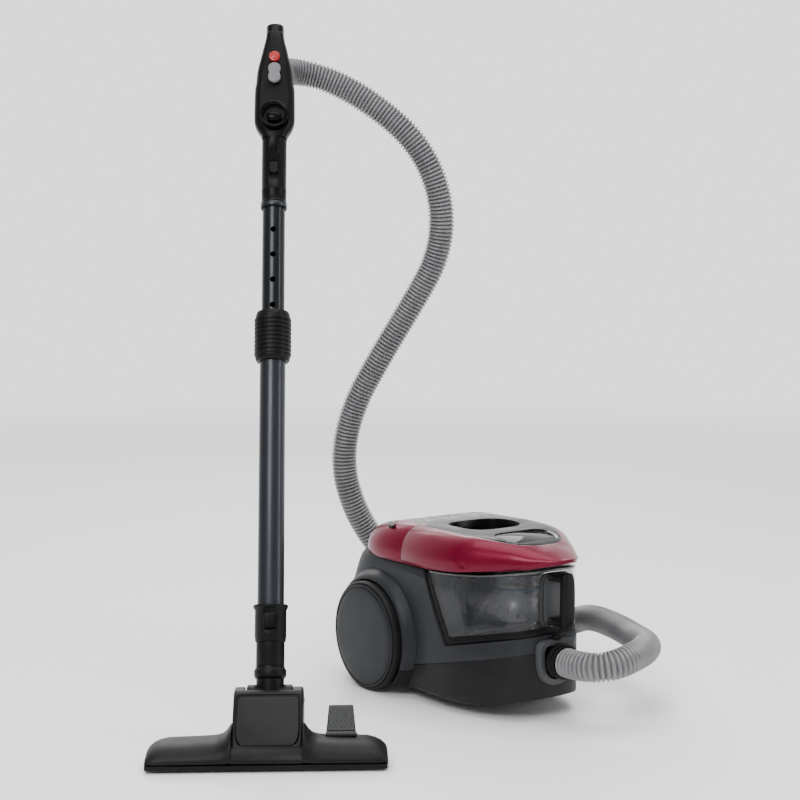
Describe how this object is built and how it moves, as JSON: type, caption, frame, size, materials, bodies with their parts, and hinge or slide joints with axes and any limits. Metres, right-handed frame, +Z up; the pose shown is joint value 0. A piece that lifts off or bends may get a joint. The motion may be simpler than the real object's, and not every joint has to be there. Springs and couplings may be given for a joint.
{
  "type": "canister vacuum cleaner",
  "caption": "Bagless canister vacuum cleaner: wheeled body with clear dust bin and crimson lid, corrugated hose, telescopic wand and floor head with a pedal.",
  "frame": {"origin": "middle of the footprint of everything but the free hose, on the floor", "axes": "+Z up, the canister's front towards -Y, the wand and floor head on the canister's -X side"},
  "size_m": [0.8155, 0.6136, 0.9674],
  "materials": {
    "charcoal_plastic": "satin charcoal moulding",
    "black_plastic": "matt black moulding",
    "crimson_gloss": "deep pearl crimson gloss",
    "dark_gloss": "glossy black moulding",
    "smoked_window": "smoked clear window",
    "clear_bin": "smoky clear moulding",
    "silver_plastic": "silver painted plastic",
    "light_grey_plastic": "light grey moulding",
    "filter_media": "pleated filter media",
    "motor_metal": "plain steel",
    "inner_plastic": "plain grey moulding",
    "handle_plastic": "satin black moulding",
    "red_key": "red key",
    "grey_key": "grey key",
    "gunmetal_tube": "gloss gunmetal paint",
    "dark_steel_tube": "satin blue-black",
    "hose_silver": "silver-grey corrugated hose",
    "wheel_plastic": "gunmetal gloss",
    "soft_tread": "soft black tread",
    "head_plastic": "fine-textured charcoal",
    "bristle": "black bristle strip"
  },
  "bodies": {
    "canister": {"lower_body": "black_plastic", "upper_body": "charcoal_plastic", "rear_top_cover": "crimson_gloss", "deck_panel": "dark_gloss", "motor_housing": "inner_plastic", "inner_chassis": "inner_plastic", "premotor_filter": "filter_media", "exhaust_filter": "filter_media", "exhaust_grille": "black_plastic", "cord_outlet": "black_plastic", "inlet_flange": "light_grey_plastic", "inlet_duct": "black_plastic", "wheel_axles": "motor_metal", "hose": "hose_silver", "neck_tube": "black_plastic", "wand_coupling": "black_plastic", "lower_tube": "gunmetal_tube"},
    "dust_bin": {"bin_base": "black_plastic", "bin_container": "clear_bin", "bin_top_plate": "black_plastic", "cyclone": "silver_plastic", "mesh_filter": "filter_media", "bin_handle": "handle_plastic"},
    "bin_lid": {"lid_cover": "crimson_gloss", "handle_well": "black_plastic", "lid_window": "smoked_window"},
    "release_button": {"bin_release_button": "handle_plastic"},
    "bin_turbine": {"bin_turbine": "light_grey_plastic"},
    "power_button": {"power_button": "silver_plastic"},
    "rewind_button": {"rewind_button": "silver_plastic"},
    "motor_rotor": {"motor_rotor": "motor_metal"},
    "cord_reel": {"cord_reel": "inner_plastic"},
    "hose_cuff": {"hose_cuff": "black_plastic"},
    "inlet_latch": {"inlet_latch": "light_grey_plastic"},
    "left_wheel": {"left_wheel": "wheel_plastic", "left_tyre": "soft_tread"},
    "right_wheel": {"right_wheel": "wheel_plastic", "right_tyre": "soft_tread"},
    "caster_fork": {"caster_fork": "black_plastic"},
    "caster_wheel": {"caster_wheel": "soft_tread"},
    "handle": {"upper_tube": "dark_steel_tube", "handle_sleeve": "handle_plastic", "handle_grip": "handle_plastic", "handle_front_shell": "dark_gloss"},
    "release_collar": {"release_collar": "black_plastic"},
    "coupling_latch": {"coupling_latch": "handle_plastic"},
    "sleeve_latch": {"sleeve_latch": "black_plastic"},
    "stop_key": {"stop_key": "red_key"},
    "speed_rocker": {"speed_rocker": "grey_key"},
    "relief_slider": {"relief_slider": "handle_plastic"},
    "hose_swivel": {"hose_swivel": "black_plastic"},
    "elbow": {"elbow": "black_plastic"},
    "floor_head": {"head_cover": "head_plastic", "hub_panel": "dark_gloss", "sole_plate": "black_plastic", "hinge_pin": "motor_metal", "head_pins": "motor_metal"},
    "pedal": {"pedal": "grey_key"},
    "bristle_strips": {"bristle_strips": "bristle"},
    "head_rollers": {"head_rollers": "soft_tread"}
  },
  "joints": [
    {"name": "bin_slide", "type": "slide", "parent": "canister", "child": "dust_bin", "axis": [0, -0.9701, 0.2425], "range_m": [0, 0.12]},
    {"name": "lid_hinge", "type": "hinge", "parent": "dust_bin", "child": "bin_lid", "pos_m": [0.21217, 0.02662, 0.25], "axis": [-1, 0, 0], "range_deg": [0, 70]},
    {"name": "release_button_press", "type": "slide", "parent": "bin_lid", "child": "release_button", "axis": [0, -1, 0], "range_m": [0, 0.003], "stiffness_N_per_m": 400, "springref_m": -0.002},
    {"name": "bin_turbine_spin", "type": "hinge", "parent": "dust_bin", "child": "bin_turbine", "pos_m": [0.21217, -0.13908, 0.122], "axis": [0, 0, 1], "continuous": true},
    {"name": "power_button_press", "type": "slide", "parent": "canister", "child": "power_button", "axis": [0, 0, -1], "range_m": [0, 0.002], "stiffness_N_per_m": 400, "springref_m": -0.002},
    {"name": "rewind_button_press", "type": "slide", "parent": "canister", "child": "rewind_button", "axis": [0, 0, -1], "range_m": [0, 0.002], "stiffness_N_per_m": 400, "springref_m": -0.002},
    {"name": "motor_rotor_spin", "type": "hinge", "parent": "canister", "child": "motor_rotor", "pos_m": [0.17817, 0.11692, 0.118], "axis": [0, 1, 0], "continuous": true},
    {"name": "cord_reel_spin", "type": "hinge", "parent": "canister", "child": "cord_reel", "pos_m": [0.27217, 0.11692, 0.112], "axis": [1, 0, 0], "continuous": true},
    {"name": "hose_cuff_spin", "type": "hinge", "parent": "canister", "child": "hose_cuff", "pos_m": [0.21217, -0.19808, 0.085], "axis": [0, -1, 0], "continuous": true},
    {"name": "inlet_latch_press", "type": "slide", "parent": "canister", "child": "inlet_latch", "axis": [0, 0, -1], "range_m": [0, 0.001], "stiffness_N_per_m": 400, "springref_m": -0.002},
    {"name": "left_wheel_spin", "type": "hinge", "parent": "canister", "child": "left_wheel", "pos_m": [0.09217, 0.08892, 0.08], "axis": [1, 0, 0], "continuous": true},
    {"name": "right_wheel_spin", "type": "hinge", "parent": "canister", "child": "right_wheel", "pos_m": [0.33217, 0.08892, 0.08], "axis": [1, 0, 0], "continuous": true},
    {"name": "caster_swivel", "type": "hinge", "parent": "canister", "child": "caster_fork", "pos_m": [0.21217, -0.08108, 0.04], "axis": [0, 0, 1], "continuous": true},
    {"name": "caster_wheel_spin", "type": "hinge", "parent": "caster_fork", "child": "caster_wheel", "pos_m": [0.21217, -0.07308, 0.017], "axis": [1, 0, 0], "continuous": true},
    {"name": "handle_telescope", "type": "slide", "parent": "canister", "child": "handle", "axis": [0.1764, 0.2737, 0.9455], "range_m": [-0.14, 0.13], "deforming": ["hose"]},
    {"name": "release_collar_press", "type": "slide", "parent": "canister", "child": "release_collar", "axis": [-0.1764, -0.2737, -0.9455], "range_m": [0, 0.006], "stiffness_N_per_m": 400, "springref_m": -0.002},
    {"name": "coupling_latch_press", "type": "slide", "parent": "canister", "child": "coupling_latch", "axis": [0.1764, 0.2737, 0.9455], "range_m": [0, 0.006], "stiffness_N_per_m": 400, "springref_m": -0.002},
    {"name": "sleeve_latch_press", "type": "slide", "parent": "handle", "child": "sleeve_latch", "axis": [0.5122, 0.7948, -0.3256], "range_m": [0, 0.001], "stiffness_N_per_m": 400, "springref_m": -0.002},
    {"name": "stop_key_press", "type": "slide", "parent": "handle", "child": "stop_key", "axis": [0.5122, 0.7948, -0.3256], "range_m": [0, 0.0012], "stiffness_N_per_m": 400, "springref_m": -0.002},
    {"name": "speed_rocker_press", "type": "slide", "parent": "handle", "child": "speed_rocker", "axis": [0.5122, 0.7948, -0.3256], "range_m": [0, 0.0012], "stiffness_N_per_m": 400, "springref_m": -0.002},
    {"name": "relief_slide", "type": "slide", "parent": "handle", "child": "relief_slider", "axis": [0.1764, 0.2737, 0.9455], "range_m": [0, 0.01]},
    {"name": "hose_swivel_spin", "type": "hinge", "parent": "handle", "child": "hose_swivel", "pos_m": [0.01557, 0.21653, 0.90682], "axis": [0.5417, 0.8406, 0], "continuous": true},
    {"name": "neck_swivel", "type": "hinge", "parent": "canister", "child": "elbow", "pos_m": [-0.15883, -0.05408, 0.088], "axis": [0.1764, 0.2737, 0.9455], "range_deg": [-90, 90]},
    {"name": "head_tilt", "type": "hinge", "parent": "elbow", "child": "floor_head", "pos_m": [-0.16405, -0.06218, 0.06001], "axis": [0.8406, -0.5417, 0], "range_deg": [-14, 56]},
    {"name": "pedal_press", "type": "hinge", "parent": "floor_head", "child": "pedal", "pos_m": [-0.1205, -0.16444, 0.033], "axis": [-0.8406, 0.5417, 0], "range_deg": [0, 14], "stiffness_Nm_per_rad": 0.6, "springref_deg": -8.59},
    {"name": "bristle_lift", "type": "slide", "parent": "floor_head", "child": "bristle_strips", "axis": [0, 0, 1], "range_m": [0, 0.0032]},
    {"name": "head_rollers_spin", "type": "hinge", "parent": "floor_head", "child": "head_rollers", "pos_m": [-0.1637, -0.06164, 0.008], "axis": [0.8406, -0.5417, 0], "continuous": true}
  ],
  "couplings": [
    {"joint": "bristle_lift", "follows": "pedal_press", "m_per_rad": 0.012278}
  ]
}
